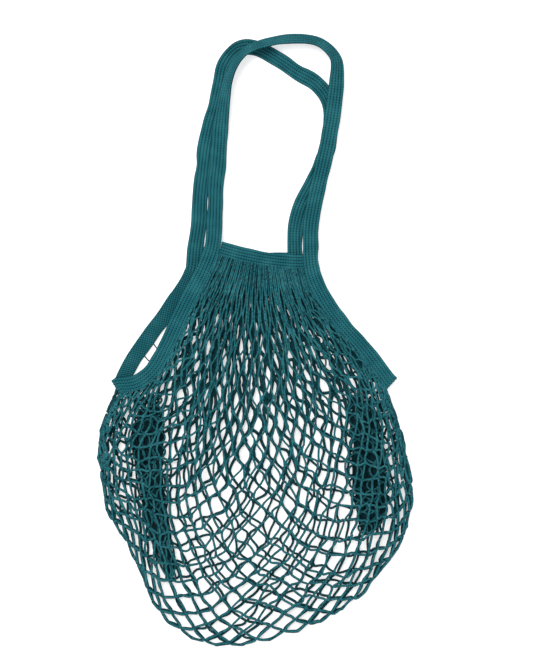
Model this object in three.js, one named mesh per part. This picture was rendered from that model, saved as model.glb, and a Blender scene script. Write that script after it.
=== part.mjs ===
// String shopping bag, laid flat with its handles stretched out above it.
// Millimetres, +Z up from the surface it lies on, +Y towards the handles, +X to the right.
import * as THREE from "three";

// Tapes
const tapeWidth = 18;
const tapeThickness = 2.4;
const bandWidth = 16.5;
const tapeRibs = 5;
const ribRelief = 0.45;
const seamGap = 0.3;

// Handles and mouth bands
const handleSpread = 110;
const handleDrop = 248;
const bandSag = 3.5;
const frontBandSeats = { left: 9, right: -7 };
const backBandSeats = { left: 4, right: -3 };

// Netting
const netWidth = 358;
const netDepth = 448;
const sideDepth = 147;
const netThickness = 2.5;
const stringBundle = 5.2;
const meshColumns = 7;
const meshCourses = 9;
const smallestHole = 0.12;
const scallopDepth = 4;
const cornerGather = 1.9;
const netSeam = 0.9;

// How the two layers lie
const mouthGap = 6.4;
const pouchBulge = 3.2;
const shoulder = 7;

// Folded netting inside each side
const foldGap = 0.3;
const foldHeight = 5.6;
const foldPleats = 4;
const pleatRelief = 1.4;

// Fineness of the faceted shapes
const stepsPerRow = 2;
const cornerSteps = 6;
const bandSteps = 10;
const foldSteps = 12;

const frontLevel = tapeThickness + mouthGap;
const UP = new THREE.Vector3(0, 0, 1);
const degrees = THREE.MathUtils.degToRad;

// A table as a list of rows with named columns
function table(columns, rows) {
  return rows.map((row) => Object.fromEntries(columns.map((name, k) => [name, row[k]])));
}

// Handles, from their left foot to their right foot.
// over: share of the spread from the middle; up: share of the drop above the mouth line;
// rest: share of the front layer's height that the tape rests at; tilt: degrees about its length.
const handleColumns = ["over", "up", "rest", "tilt"];
const frontHandle = table(handleColumns, [
  [-0.606, -0.065, 1, 0],
  [-0.512, 0.051, 1, 0],
  [-0.491, 0.195, 0.5, 0],
  [-0.481, 0.329, 0.35, 0],
  [-0.45, 0.473, 0.35, 0],
  [-0.429, 0.603, 0.35, -18],
  [-0.387, 0.737, 0.35, -42],
  [-0.314, 0.858, 0.5, -58],
  [-0.178, 0.941, 0.75, -52],
  [0.063, 0.983, 0.8, -48],
  [0.324, 1.002, 0.5, -46],
  [0.585, 0.988, 0.4, -46],
  [0.763, 0.914, 0.6, -42],
  [0.774, 0.802, 0.8, -20],
  [0.742, 0.672, 0.75, -4],
  [0.68, 0.51, 0.5, 0],
  [0.606, 0.362, 0.4, 0],
  [0.538, 0.227, 0.5, 0],
  [0.502, 0.102, 0.9, 0],
  [0.523, -0.065, 1, 0],
]);
const backHandle = table(handleColumns, [
  [-0.727, -0.07, 0, 0],
  [-0.695, 0.046, 0, 0],
  [-0.659, 0.162, 0, 0],
  [-0.648, 0.274, 0, 0],
  [-0.62, 0.385, 0, 0],
  [-0.591, 0.496, 0, 0],
  [-0.544, 0.603, 0, 0],
  [-0.481, 0.709, 0, 0],
  [-0.434, 0.802, 0, 0],
  [-0.387, 0.89, 0, 6],
  [-0.251, 0.96, 0, 34],
  [-0.052, 0.965, 0, 12],
  [0.157, 0.914, 0, 26],
  [0.366, 0.853, 0, 4],
  [0.565, 0.802, 0, 6],
  [0.7, 0.719, 0, 8],
  [0.721, 0.603, 0, 0],
  [0.659, 0.468, 0, 0],
  [0.538, 0.348, 0, 0],
  [0.408, 0.236, 0, 0],
  [0.347, 0.13, 0, 0],
  [0.346, 0.025, 0, 0],
  [0.37, -0.07, 0, 0],
]);

// Side edges of the mouth, in the order of a walk from the left corner to the right one.
// over: share of the net's width from the middle; down: share of the side depth below the
// mouth line; tilt and skew: degrees about the tape's length and about the upright.
const sideColumns = ["over", "down", "tilt", "skew"];
const frontLeftSide = table(sideColumns, [
  [-0.458, 1, 0, 28],
  [-0.402, 0.984, 0, 8],
  [-0.346, 0.875, 0, 0],
  [-0.302, 0.684, 0, 0],
  [-0.264, 0.48, 0, 0],
  [-0.225, 0.289, 0, 0],
]);
const frontRightSide = table(sideColumns, [
  [0.197, 0.316, -14, 0],
  [0.251, 0.508, -22, 0],
  [0.319, 0.695, -22, 0],
  [0.367, 0.844, -12, 0],
  [0.405, 0.969, 0, 11],
]);
const backLeftSide = table(sideColumns, [
  [-0.458, 1, 0, -26],
  [-0.415, 0.812, 0, -4],
  [-0.36, 0.617, 0, 0],
  [-0.305, 0.438, 0, 0],
  [-0.26, 0.277, 0, 0],
]);
const backRightSide = table(sideColumns, [
  [0.145, 0.234, 0, 0],
  [0.186, 0.39, 0, 0],
  [0.232, 0.547, 0, 0],
  [0.28, 0.719, 0, 0],
  [0.334, 0.859, 0, 0],
  [0.405, 0.969, 0, -9],
]);

// Outline of the laid net between its two upper corners, by way of the bottom.
// over: share of the net's width from the middle; down: share of its depth below the mouth line.
const outline = table(["over", "down"], [
  [-0.516, 0.449],
  [-0.514, 0.556],
  [-0.492, 0.656],
  [-0.428, 0.741],
  [-0.379, 0.836],
  [-0.318, 0.923],
  [-0.206, 0.985],
  [-0.084, 0.999],
  [0.051, 0.972],
  [0.17, 0.941],
  [0.283, 0.89],
  [0.379, 0.813],
  [0.45, 0.728],
  [0.479, 0.628],
  [0.463, 0.518],
  [0.428, 0.413],
]);

// Folds of netting tucked in at the sides, from the top down.
// half: share of the net's width on each side of the middle; height: share of the fold's height.
const foldColumns = ["over", "down", "half", "height"];
const leftFold = table(foldColumns, [
  [-0.36, 0.4, 0.04, 0.5],
  [-0.368, 0.46, 0.055, 0.9],
  [-0.362, 0.53, 0.052, 1],
  [-0.352, 0.6, 0.045, 1],
  [-0.335, 0.68, 0.036, 0.9],
  [-0.312, 0.76, 0.026, 0.8],
  [-0.29, 0.83, 0.014, 0.5],
]);
const rightFold = table(foldColumns, [
  [0.315, 0.385, 0.035, 0.5],
  [0.33, 0.45, 0.05, 0.9],
  [0.342, 0.52, 0.058, 1],
  [0.346, 0.59, 0.058, 1],
  [0.346, 0.65, 0.048, 0.9],
  [0.342, 0.71, 0.026, 0.5],
]);

// One value read smoothly between the numbers of a list
function readSmooth(values, position) {
  const last = values.length - 1;
  const scaled = THREE.MathUtils.clamp(position, 0, 1) * last;
  const k = Math.min(Math.floor(scaled), last - 1);
  const at = (n) => values[THREE.MathUtils.clamp(n, 0, last)];
  const t = scaled - k;
  const slopeIn = (at(k + 1) - at(k - 1)) / 2;
  const slopeOut = (at(k + 2) - at(k)) / 2;
  const rise = at(k + 1) - at(k);
  return at(k) + t * (slopeIn + t * (3 * rise - 2 * slopeIn - slopeOut + t * (slopeIn + slopeOut - 2 * rise)));
}

// Rows of the two tables as places on the tape's mid plane
function handlePlaces(rows) {
  return rows.map(({ over, up, rest, tilt }) => {
    const lift = (tapeWidth / 2) * Math.abs(Math.sin(degrees(tilt)));
    return {
      x: over * handleSpread, y: up * handleDrop,
      z: rest * frontLevel + lift + tapeThickness / 2, tilt, skew: 0,
    };
  });
}

function sidePlaces(rows, level) {
  return rows.map(({ over, down, tilt, skew }) => ({
    x: over * netWidth, y: -down * sideDepth, z: level + tapeThickness / 2, tilt, skew,
  }));
}

// Stations of a strap: centre, way along, way across to its outer edge, and normal.
// face is 1 where the tape's right side is up and -1 where it is down.
function strapStations(places, face) {
  const steps = (places.length - 1) * stepsPerRow;
  const read = (name, n) => readSmooth(places.map((place) => place[name]), n / steps);
  const centres = [];
  for (let n = 0; n <= steps; n += 1) {
    const height = Math.max(read("z", n), tapeThickness / 2);
    centres.push(new THREE.Vector3(read("x", n), read("y", n), height));
  }
  return centres.map((centre, n) => {
    const before = centres[Math.max(n - 1, 0)];
    const after = centres[Math.min(n + 1, steps)];
    const along = after.clone().sub(before).normalize();
    const across = new THREE.Vector3().crossVectors(UP, along).normalize();
    across.applyAxisAngle(UP, degrees(read("skew", n)));
    across.applyAxisAngle(along, degrees(read("tilt", n)));
    const normal = new THREE.Vector3().crossVectors(along, across).normalize().multiplyScalar(face);
    return { centre, along, across, normal };
  });
}

// Half turn that carries a tape at a corner from the front layer down to the back layer
function cornerStations(front, back, direction) {
  const radius = (front.centre.z - back.centre.z) / 2;
  const middle = back.centre.clone().addScaledVector(UP, radius);
  const along = front.along.clone().multiplyScalar(direction).setZ(0);
  const out = along.addScaledVector(front.across, -along.dot(front.across)).normalize();
  const stations = [];
  for (let n = 1; n < cornerSteps; n += 1) {
    const turn = (Math.PI * n) / cornerSteps;
    const normal = out.clone().multiplyScalar(Math.sin(turn)).addScaledVector(UP, Math.cos(turn));
    const centre = middle.clone().addScaledVector(normal, radius);
    stations.push({ centre, along: out, across: front.across, normal });
  }
  return stations;
}

// Part of a strap, cut short by half a seam gap at a joined end
function strapPart(stations, from, to, cutStart, cutEnd) {
  const part = stations.slice(from, to + 1).map((station) => ({ ...station }));
  const cut = (station, way) => station.centre.clone().addScaledVector(station.along, (way * seamGap) / 2);
  if (cutStart) {
    part[0].centre = cut(part[0], 1);
  }
  if (cutEnd) {
    part[part.length - 1].centre = cut(part[part.length - 1], -1);
  }
  return part;
}

// Point outside one edge of a strap, read between its stations
function edgePoint(stations, position, side, reach) {
  const scaled = THREE.MathUtils.clamp(position, 0, stations.length - 1);
  const k = Math.min(Math.floor(scaled), stations.length - 2);
  const [first, second] = [stations[k], stations[k + 1]].map(({ centre, across }) =>
    centre.clone().addScaledVector(across, side * reach));
  return first.lerp(second, scaled - k);
}

// Position between two stations where an error is smallest
function bestPosition(from, to, error) {
  const tries = 400;
  let best = from;
  for (let n = 1; n <= tries; n += 1) {
    const position = from + ((to - from) * n) / tries;
    if (error(position) < error(best)) {
      best = position;
    }
  }
  return best;
}

// Section of a tape: ribs on its right side unless it is plain
function tapeSection(width, ribs) {
  const crest = tapeThickness / 2;
  const points = [[-width / 2, -crest], [width / 2, -crest]];
  for (let k = 2 * ribs; k >= 0; k -= 1) {
    points.push([width * (k / (2 * ribs) - 0.5), k % 2 === 0 ? crest - ribRelief : crest]);
  }
  return points;
}

const plainSection = (width) => [
  [-width / 2, -tapeThickness / 2], [width / 2, -tapeThickness / 2],
  [width / 2, tapeThickness / 2], [-width / 2, tapeThickness / 2],
];

// Geometry from points and triangles, turned so that its faces point out
function closedGeometry(points, faces) {
  let volume = 0;
  for (const [a, b, c] of faces) {
    volume += points[a].dot(new THREE.Vector3().crossVectors(points[b], points[c]));
  }
  const outward = volume < 0 ? faces.map(([a, b, c]) => [a, c, b]) : faces;
  const geometry = new THREE.BufferGeometry();
  geometry.setAttribute("position", new THREE.Float32BufferAttribute(points.flatMap((p) => p.toArray()), 3));
  geometry.setIndex(outward.flat());
  geometry.computeVertexNormals();
  return geometry;
}

// Closed body through a list of sections with equal numbers of points, all shaped like the outline
function loft(sections, outline2d) {
  const count = outline2d.length;
  const faces = [];
  for (let n = 0; n < sections.length - 1; n += 1) {
    for (let k = 0; k < count; k += 1) {
      const a = n * count + k;
      const b = n * count + ((k + 1) % count);
      faces.push([a, b, b + count], [a, b + count, a + count]);
    }
  }
  const end = (sections.length - 1) * count;
  const lid = THREE.ShapeUtils.triangulateShape(outline2d.map(([x, y]) => new THREE.Vector2(x, y)), []);
  for (const [a, b, c] of lid) {
    faces.push([a, c, b], [end + a, end + b, end + c]);
  }
  return closedGeometry(sections.flat(), faces);
}

function sweep(stations, section) {
  const sections = stations.map(({ centre, across, normal }) => section.map(([side, height]) =>
    centre.clone().addScaledVector(across, side).addScaledVector(normal, height)));
  return loft(sections, section);
}

// Closed body from an open surface with holes, given half its thickness above and below
function thicken(points, faces, thickness) {
  const half = new THREE.Vector3(0, 0, thickness / 2);
  const count = points.length;
  const solidPoints = [...points.map((p) => p.clone().add(half)), ...points.map((p) => p.clone().sub(half))];
  const solidFaces = [...faces, ...faces.map(([a, b, c]) => [a + count, c + count, b + count])];
  const edges = new Set(faces.flatMap(([a, b, c]) => [`${a},${b}`, `${b},${c}`, `${c},${a}`]));
  for (const edge of edges) {
    const [a, b] = edge.split(",").map(Number);
    if (!edges.has(`${b},${a}`)) {
      solidFaces.push([a, b + count, b], [a, a + count, b + count]);
    }
  }
  return closedGeometry(solidPoints, solidFaces);
}

// Netting between four edge curves: diamond meshes in courses from the mouth to the fold.
// surface(u, v) gives the middle of the string at a share across and a share down.
function netting(surface) {
  const points = [];
  const faces = [];
  const known = new Map();
  const columns = 2 * meshColumns;
  const knot = (i, j) => {
    const key = `${i},${j}`;
    if (!known.has(key)) {
      known.set(key, points.length);
      points.push(surface(i / columns, j / meshCourses, i));
    }
    return known.get(key);
  };
  const addPoint = (point) => points.push(point) - 1;
  // A mesh: a ring of string round a hole, or filled from its pivot where the hole's share of it
  // would be too small
  const mesh = (corners, pierced, pivot) => {
    const ring = corners.map(([i, j]) => knot(i, j));
    const centre = new THREE.Vector3();
    ring.forEach((index) => centre.addScaledVector(points[index], 1 / ring.length));
    let reach = Infinity;
    ring.forEach((index, k) => {
      const from = points[index];
      const to = points[ring[(k + 1) % ring.length]];
      const span = Math.hypot(to.x - from.x, to.y - from.y);
      const area = (to.x - from.x) * (centre.y - from.y) - (to.y - from.y) * (centre.x - from.x);
      reach = Math.min(reach, Math.abs(area) / span);
    });
    const share = 1 - stringBundle / 2 / reach;
    if (!pierced || share < smallestHole) {
      const hub = knot(...pivot);
      ring.map((index, k) => [index, ring[(k + 1) % ring.length], hub])
        .filter(([a, b]) => a !== hub && b !== hub)
        .forEach((triangle) => faces.push(triangle));
      return;
    }
    const hole = ring.map((index) => addPoint(centre.clone().lerp(points[index], share)));
    ring.forEach((index, k) => {
      const next = (k + 1) % ring.length;
      faces.push([index, ring[next], hole[next]], [index, hole[next], hole[k]]);
    });
  };
  for (let j = 0; j <= meshCourses; j += 1) {
    for (let i = 0; i <= columns; i += 1) {
      if ((i + j) % 2 === 0) {
        continue;
      }
      const around = [
        [i - 1, j], [i - 0.5, j + 0.5], [i, j + 1], [i + 0.5, j + 0.5],
        [i + 1, j], [i + 0.5, j - 0.5], [i, j - 1], [i - 0.5, j - 0.5],
      ].map(([a, b]) => [THREE.MathUtils.clamp(a, 0, columns), THREE.MathUtils.clamp(b, 0, meshCourses)]);
      const corners = around.filter(([a, b], k) => {
        const [c, d] = around[(k + 1) % around.length];
        return a !== c || b !== d;
      });
      const ring = corners.flatMap(([a, b], k) => {
        const [c, d] = corners[(k + 1) % corners.length];
        const nearSide = Math.max(a, c) <= 1 || Math.min(a, c) >= columns - 1;
        return nearSide ? [[a, b], [(a + c) / 2, (b + d) / 2]] : [[a, b]];
      });
      const pivot = [THREE.MathUtils.clamp(i, 1, columns - 1), Math.max(j, 1)];
      mesh(ring, i > 0 && i < columns && j > 0, pivot);
    }
  }
  return thicken(points, faces, netThickness);
}

// A whole strap: a side edge, a handle and the other side edge, walked from left to right
function strap(leftRows, handleRows, rightRows, level, face) {
  const places = [...sidePlaces(leftRows, level), ...handlePlaces(handleRows), ...sidePlaces(rightRows, level)];
  const stations = strapStations(places, face);
  return {
    stations,
    last: stations.length - 1,
    leftFoot: leftRows.length * stepsPerRow,
    rightFoot: (leftRows.length + handleRows.length - 1) * stepsPerRow,
  };
}

// Band across the mouth, between the inner edges of the two feet of a handle
function bandStations({ stations, leftFoot, rightFoot }, seats, level) {
  const reach = tapeWidth / 2 + seamGap;
  const seatSearch = 3 * stepsPerRow;
  const seat = (from, to, height) => bestPosition(from, to, (position) =>
    Math.abs(edgePoint(stations, position, -1, reach).y - height));
  const left = seat(leftFoot, leftFoot + seatSearch, seats.left);
  const right = seat(rightFoot, rightFoot - seatSearch, seats.right);
  const from = edgePoint(stations, left, -1, reach);
  const to = edgePoint(stations, right, -1, reach);
  const result = [];
  for (let n = 0; n <= bandSteps; n += 1) {
    const t = n / bandSteps;
    const centre = from.clone().lerp(to, t).setZ(level + tapeThickness / 2);
    centre.y -= bandSag * 4 * t * (1 - t);
    const along = to.clone().sub(from).setZ(0);
    along.y -= bandSag * 4 * (1 - 2 * t);
    const across = new THREE.Vector3().crossVectors(UP, along).normalize();
    result.push({ centre, along: along.normalize(), across, normal: UP.clone() });
  }
  const runStep = 0.3;
  const edgeRun = (position) => edgePoint(stations, position + runStep, -1, reach)
    .sub(edgePoint(stations, position - runStep, -1, reach)).setZ(0).normalize();
  result[0].across = edgeRun(left);
  result[bandSteps].across = edgeRun(right).negate();
  return result;
}

// Surface of one layer of netting, stretched between its band, the side edges and the bottom fold.
// seam: height of its middle at the fold; bulge: how far it stands up between its edges.
function layerSurface({ stations, leftFoot, rightFoot, last }, band, seam, bulge) {
  const reach = tapeWidth / 2 + netSeam;
  const rimStep = 0.01;
  const lowerEdge = (position) => {
    const k = Math.min(Math.floor(position), bandSteps - 1);
    const [a, b] = [band[k], band[k + 1]].map(({ centre, across }) =>
      centre.clone().addScaledVector(across, -(bandWidth / 2 + netSeam)));
    return a.lerp(b, position - k);
  };
  const distanceTo = (point) => (position) => {
    const edge = edgePoint(stations, position, -1, reach);
    return Math.hypot(edge.x - point.x, edge.y - point.y);
  };
  const top = (u) => lowerEdge(u * bandSteps);
  const leftStart = bestPosition(0, leftFoot + stepsPerRow, distanceTo(top(0)));
  const rightStart = bestPosition(rightFoot - stepsPerRow, last, distanceTo(top(1)));
  const gathered = (v) => 1 - (1 - v) ** cornerGather;
  const left = (v) => edgePoint(stations, leftStart * (1 - gathered(v)), -1, reach);
  const right = (v) => edgePoint(stations, rightStart + (last - rightStart) * gathered(v), -1, reach);
  const rim = [
    left(1),
    ...outline.map(({ over, down }) => new THREE.Vector3(over * netWidth, -down * netDepth, seam)),
    right(1),
  ];
  const bottom = (u) => new THREE.Vector3(
    readSmooth(rim.map((p) => p.x), u),
    readSmooth(rim.map((p) => p.y), u),
    Math.max(readSmooth(rim.map((p) => p.z), u), seam),
  );
  return (u, v, i) => {
    const [t, b, l, r] = [top(u), bottom(u), left(v), right(v)];
    const corners = new THREE.Vector3()
      .addScaledVector(top(0), (1 - u) * (1 - v)).addScaledVector(top(1), u * (1 - v))
      .addScaledVector(bottom(0), (1 - u) * v).addScaledVector(bottom(1), u * v);
    const point = t.clone().multiplyScalar(1 - v).addScaledVector(b, v)
      .addScaledVector(l, 1 - u).addScaledVector(r, u).sub(corners);
    const fall = v ** shoulder;
    const crown = (1 - (2 * u - 1) ** 4) * 4 * v * (1 - v);
    point.z = (1 - fall) * ((1 - u) * l.z + u * r.z) + fall * b.z + bulge * crown;
    if (v === 1 && u > 0 && u < 1) {
      const run = bottom(Math.min(u + rimStep, 1)).sub(bottom(Math.max(u - rimStep, 0)));
      const out = new THREE.Vector3(run.y, -run.x, 0).normalize();
      point.addScaledVector(out, (-scallopDepth / 2) * Math.cos(Math.PI * (i + meshCourses)));
    }
    return point;
  };
}

// Netting folded double inside a side: a pleated lens on top of the back layer
function sideFold(rows) {
  const places = rows.map(({ over, down, half, height }) => ({
    x: over * netWidth, y: -down * netDepth, half: half * netWidth, height: height * foldHeight,
  }));
  const section = (half, height) => {
    const hem = height / 4;
    const points = [[-half, 0], [half, 0]];
    for (let k = 2 * foldPleats; k >= 0; k -= 1) {
      const side = k / foldPleats - 1;
      const arch = 1 - side * side;
      points.push([side * half, hem + arch * (height - hem - (k % 2) * pleatRelief)]);
    }
    return points;
  };
  const sections = [];
  for (let n = 0; n <= foldSteps; n += 1) {
    const read = (name) => readSmooth(places.map((place) => place[name]), n / foldSteps);
    sections.push(section(read("half"), read("height")).map(([side, height]) =>
      new THREE.Vector3(read("x") + side, read("y"), netThickness + foldGap + height)));
  }
  return loft(sections, section(places[0].half, places[0].height));
}

// Cotton, dyed teal
const tapeCotton = new THREE.MeshStandardMaterial({ color: 0x2a666f, roughness: 0.9, metalness: 0 });
const netCotton = new THREE.MeshStandardMaterial({ color: 0x346c74, roughness: 0.92, metalness: 0 });
const foldCotton = new THREE.MeshStandardMaterial({ color: 0x1f474d, roughness: 0.95, metalness: 0 });

function addMesh(parent, name, geometry, material) {
  const mesh = new THREE.Mesh(geometry, material.clone());
  mesh.name = name;
  parent.add(mesh);
}

const front = strap(frontLeftSide, frontHandle, frontRightSide, frontLevel, 1);
const back = strap(backLeftSide, backHandle, backRightSide, 0, -1);
const ribbedTape = tapeSection(tapeWidth, tapeRibs);

const bag = new THREE.Group();
for (const [name, { stations, leftFoot, rightFoot }] of [["front_handle", front], ["back_handle", back]]) {
  addMesh(bag, name, sweep(strapPart(stations, leftFoot, rightFoot, true, true), ribbedTape), tapeCotton);
}

const leftBinding = [
  ...strapPart(front.stations, 0, front.leftFoot, false, true).reverse(),
  ...cornerStations(front.stations[0], back.stations[0], -1),
  ...strapPart(back.stations, 0, back.leftFoot, false, true),
];
const rightBinding = [
  ...strapPart(front.stations, front.rightFoot, front.last, true, false),
  ...cornerStations(front.stations[front.last], back.stations[back.last], 1),
  ...strapPart(back.stations, back.rightFoot, back.last, true, false).reverse(),
];
addMesh(bag, "left_side_binding", sweep(leftBinding, ribbedTape), tapeCotton);
addMesh(bag, "right_side_binding", sweep(rightBinding, ribbedTape), tapeCotton);

const frontBand = bandStations(front, frontBandSeats, frontLevel);
const backBand = bandStations(back, backBandSeats, 0);
addMesh(bag, "front_band", sweep(frontBand, tapeSection(bandWidth, tapeRibs)), tapeCotton);
addMesh(bag, "back_band", sweep(backBand, plainSection(bandWidth)), tapeCotton);

const backMiddle = netThickness / 2;
const frontSeam = netThickness * 1.5 + foldGap;
addMesh(bag, "front_net", netting(layerSurface(front, frontBand, frontSeam, pouchBulge)), netCotton);
addMesh(bag, "back_net", netting(layerSurface(back, backBand, backMiddle, 0)), netCotton);
addMesh(bag, "left_side_fold", sideFold(leftFold), foldCotton);
addMesh(bag, "right_side_fold", sideFold(rightFold), foldCotton);

// Origin under the middle of the whole bag, on the surface it lies on
const extent = new THREE.Box3().setFromObject(bag);
const middle = extent.getCenter(new THREE.Vector3());
bag.position.set(-middle.x, -middle.y, -extent.min.z);

const group = new THREE.Group();
group.add(bag);
export default group;
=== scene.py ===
import math

import bpy
import numpy as np
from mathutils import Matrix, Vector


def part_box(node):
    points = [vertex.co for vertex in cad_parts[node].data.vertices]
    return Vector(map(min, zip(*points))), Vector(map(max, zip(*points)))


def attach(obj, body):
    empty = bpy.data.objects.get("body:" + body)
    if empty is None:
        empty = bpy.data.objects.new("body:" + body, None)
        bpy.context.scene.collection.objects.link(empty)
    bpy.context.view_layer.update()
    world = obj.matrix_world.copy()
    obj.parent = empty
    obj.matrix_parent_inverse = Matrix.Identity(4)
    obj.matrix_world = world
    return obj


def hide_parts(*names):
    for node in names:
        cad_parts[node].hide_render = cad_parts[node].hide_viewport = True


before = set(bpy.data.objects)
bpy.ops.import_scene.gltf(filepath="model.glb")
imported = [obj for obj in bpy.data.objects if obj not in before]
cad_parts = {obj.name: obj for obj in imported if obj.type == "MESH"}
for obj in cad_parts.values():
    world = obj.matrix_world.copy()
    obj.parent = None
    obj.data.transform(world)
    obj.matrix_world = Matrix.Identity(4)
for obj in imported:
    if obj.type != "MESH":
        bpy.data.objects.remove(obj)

# Camera straight above the bag, framed like a square-on product picture
LENS = 85.0
SENSOR = 36.0
VIEW_HEIGHT = 0.766
VIEW_MIDDLE = (0.01265, 0.0086)

camera_data = bpy.data.cameras.new("camera")
camera_data.lens = LENS
camera_data.sensor_width = SENSOR
camera = bpy.data.objects.new("camera", camera_data)
camera.location = (*VIEW_MIDDLE, VIEW_HEIGHT * LENS / SENSOR)
bpy.context.scene.collection.objects.link(camera)
bpy.context.scene.camera = camera

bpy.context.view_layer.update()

MM = 0.001
RANDOM = np.random.default_rng(26)
UP = np.array([0.0, 0.0, 1.0])

# Sizes shared with the solids
TAPE_WIDTH = 18.0
TAPE_THICKNESS = 2.4
BAND_WIDTH = 16.5
TAPE_RIBS = 5
SEAM_GAP = 0.3
HANDLE_SPREAD = 110.0
HANDLE_DROP = 248.0
BAND_SAG = 3.5
FRONT_BAND_SEATS = (9.0, -7.0)
BACK_BAND_SEATS = (4.0, -3.0)
NET_WIDTH = 358.0
NET_DEPTH = 448.0
SIDE_DEPTH = 147.0
NET_THICKNESS = 2.5
CORNER_GATHER = 1.9
FOLD_GAP = 0.3
FOLD_HEIGHT = 5.6
MOUTH_GAP = 6.4
FRONT_LEVEL = TAPE_THICKNESS + MOUTH_GAP
POUCH_BULGE = 3.2
SHOULDER = 7.0
FRONT_SEAM = NET_THICKNESS * 1.5 + FOLD_GAP
BACK_SEAM = NET_THICKNESS / 2

# Fineness of the tapes, and how soft their edges are
STEPS_PER_ROW = 14
CORNER_STEPS = 14
BAND_STEPS = 60
SEARCH_STEPS = 400
POINTS_PER_RIB = 8
RIB_RELIEF = 0.6
EDGE_ROUND = 1.2
EDGE_DROP = 0.5
EDGE_WANDER = 0.35
WANDER_LENGTH = 14
TAPE_RIPPLE = 0.5
FLOOR_GAP = 0.05
# Share of the seam gap that a band's ends close, and the stations over which they turn
SEAM_CLOSED = 0.8
SEAM_STATIONS = 8
# How far the strings reach in under a tape's edge
TUCK = 1.0

# Strings of the netting
STRING_RADIUS = 1.46
STRING_SIDES = 7
NET_COLUMNS = 26
NET_ROWS = 31
STEPS_PER_BAR = 5
LAST_ROW = 0.45
RIM_LEVEL = 2.6
PAIR_LEAN = 0.62
SLACK = 1.0
STRAIGHTNESS = 0.15
# Wandering of the knots across, along and up: slow over the whole layer, quick from knot to knot
SLOW_SIZE = 45
SLOW_REACH = (4.2, 4.2, 0.5)
QUICK_REACH = (1.7, 2.2, 0.4)
RIM_REACH = 1.1
RIM_SEED = 7
# Strings near the mouth lie over and under each other
CROWD_STEP = 0.7
CROWD_REACH = 0.9
# Thickness along a string, as shares of its radius
PRESSED = 0.08
WIDENED = 0.16
PLAIN_BAR = 0.92
KNOT_SWELL = 0.26
UNEVENNESS = 0.06
KNOT_LENGTH = 1.7
KNOT_SIZE = 1.35
EDGE_LOOP_ROWS = (11, 13)
EDGE_LOOP_SAG = 3.0

# Strings of the side folds
FOLD_STRINGS = 22
FOLD_STRING_RADIUS = 1.15
FOLD_CHAINS = 3
FOLD_STRING_SIDES = 6
FOLD_CELLS = 13
STEPS_PER_CELL = 8
CHAIN_RADIUS = 1.3
CHAIN_SPREAD = 0.68
CELL_REACH = 0.34
CELL_ROUNDNESS = 0.6
CHAIN_LIFT = 0.6
# Closed core of painted shade under them: its reach is a share of the fold's width, its pleats of the
# height
FOLD_LIFT = 1.0
FOLD_TOP_ROOM = 1.5
CORE_STEPS = 40
PLEAT_POINTS = 25
PLEATS = 2
PLEAT_LEVEL = 0.45
PLEAT_RELIEF = 0.14
CORE_REACH = (0.74, 0.98)
CORE_WAVES = 12
CORE_DEPTH = 1.0
CORE_LENGTH = 150.0

# Columns over and up: shares of the handle's spread and drop. Column rest: share of the front
# layer's height. Column tilt: degrees about the tape's length.
FRONT_HANDLE = [
    (-0.606, -0.065, 1, 0), (-0.512, 0.051, 1, 0), (-0.491, 0.195, 0.5, 0),
    (-0.481, 0.329, 0.35, 0), (-0.45, 0.473, 0.35, 0), (-0.429, 0.603, 0.35, -18),
    (-0.387, 0.737, 0.35, -42), (-0.314, 0.858, 0.5, -58), (-0.178, 0.941, 0.75, -52),
    (0.063, 0.983, 0.8, -48), (0.324, 1.002, 0.5, -46), (0.585, 0.988, 0.4, -46),
    (0.763, 0.914, 0.6, -42), (0.774, 0.802, 0.8, -20), (0.742, 0.672, 0.75, -4),
    (0.68, 0.51, 0.5, 0), (0.606, 0.362, 0.4, 0), (0.538, 0.227, 0.5, 0),
    (0.502, 0.102, 0.9, 0), (0.523, -0.065, 1, 0),
]
BACK_HANDLE = [
    (-0.727, -0.07, 0, 0), (-0.695, 0.046, 0, 0), (-0.659, 0.162, 0, 0),
    (-0.648, 0.274, 0, 0), (-0.62, 0.385, 0, 0), (-0.591, 0.496, 0, 0),
    (-0.544, 0.603, 0, 0), (-0.481, 0.709, 0, 0), (-0.434, 0.802, 0, 0),
    (-0.387, 0.89, 0, 6), (-0.251, 0.96, 0, 34), (-0.052, 0.965, 0, 12),
    (0.157, 0.914, 0, 26), (0.366, 0.853, 0, 4), (0.565, 0.802, 0, 6),
    (0.7, 0.719, 0, 8), (0.721, 0.603, 0, 0), (0.659, 0.468, 0, 0),
    (0.538, 0.348, 0, 0), (0.408, 0.236, 0, 0), (0.347, 0.13, 0, 0),
    (0.346, 0.025, 0, 0), (0.37, -0.07, 0, 0),
]
# Columns over and down: shares of the net's width and of the side depth. Columns tilt and skew:
# degrees about the tape's length and about the upright.
FRONT_LEFT_SIDE = [
    (-0.458, 1, 0, 28), (-0.402, 0.984, 0, 8), (-0.346, 0.875, 0, 0),
    (-0.302, 0.684, 0, 0), (-0.264, 0.48, 0, 0), (-0.225, 0.289, 0, 0),
]
FRONT_RIGHT_SIDE = [
    (0.197, 0.316, -14, 0), (0.251, 0.508, -22, 0), (0.319, 0.695, -22, 0),
    (0.367, 0.844, -12, 0), (0.405, 0.969, 0, 11),
]
BACK_LEFT_SIDE = [
    (-0.458, 1, 0, -26), (-0.415, 0.812, 0, -4), (-0.36, 0.617, 0, 0),
    (-0.305, 0.438, 0, 0), (-0.26, 0.277, 0, 0),
]
BACK_RIGHT_SIDE = [
    (0.145, 0.234, 0, 0), (0.186, 0.39, 0, 0), (0.232, 0.547, 0, 0),
    (0.28, 0.719, 0, 0), (0.334, 0.859, 0, 0), (0.405, 0.969, 0, -9),
]
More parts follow.
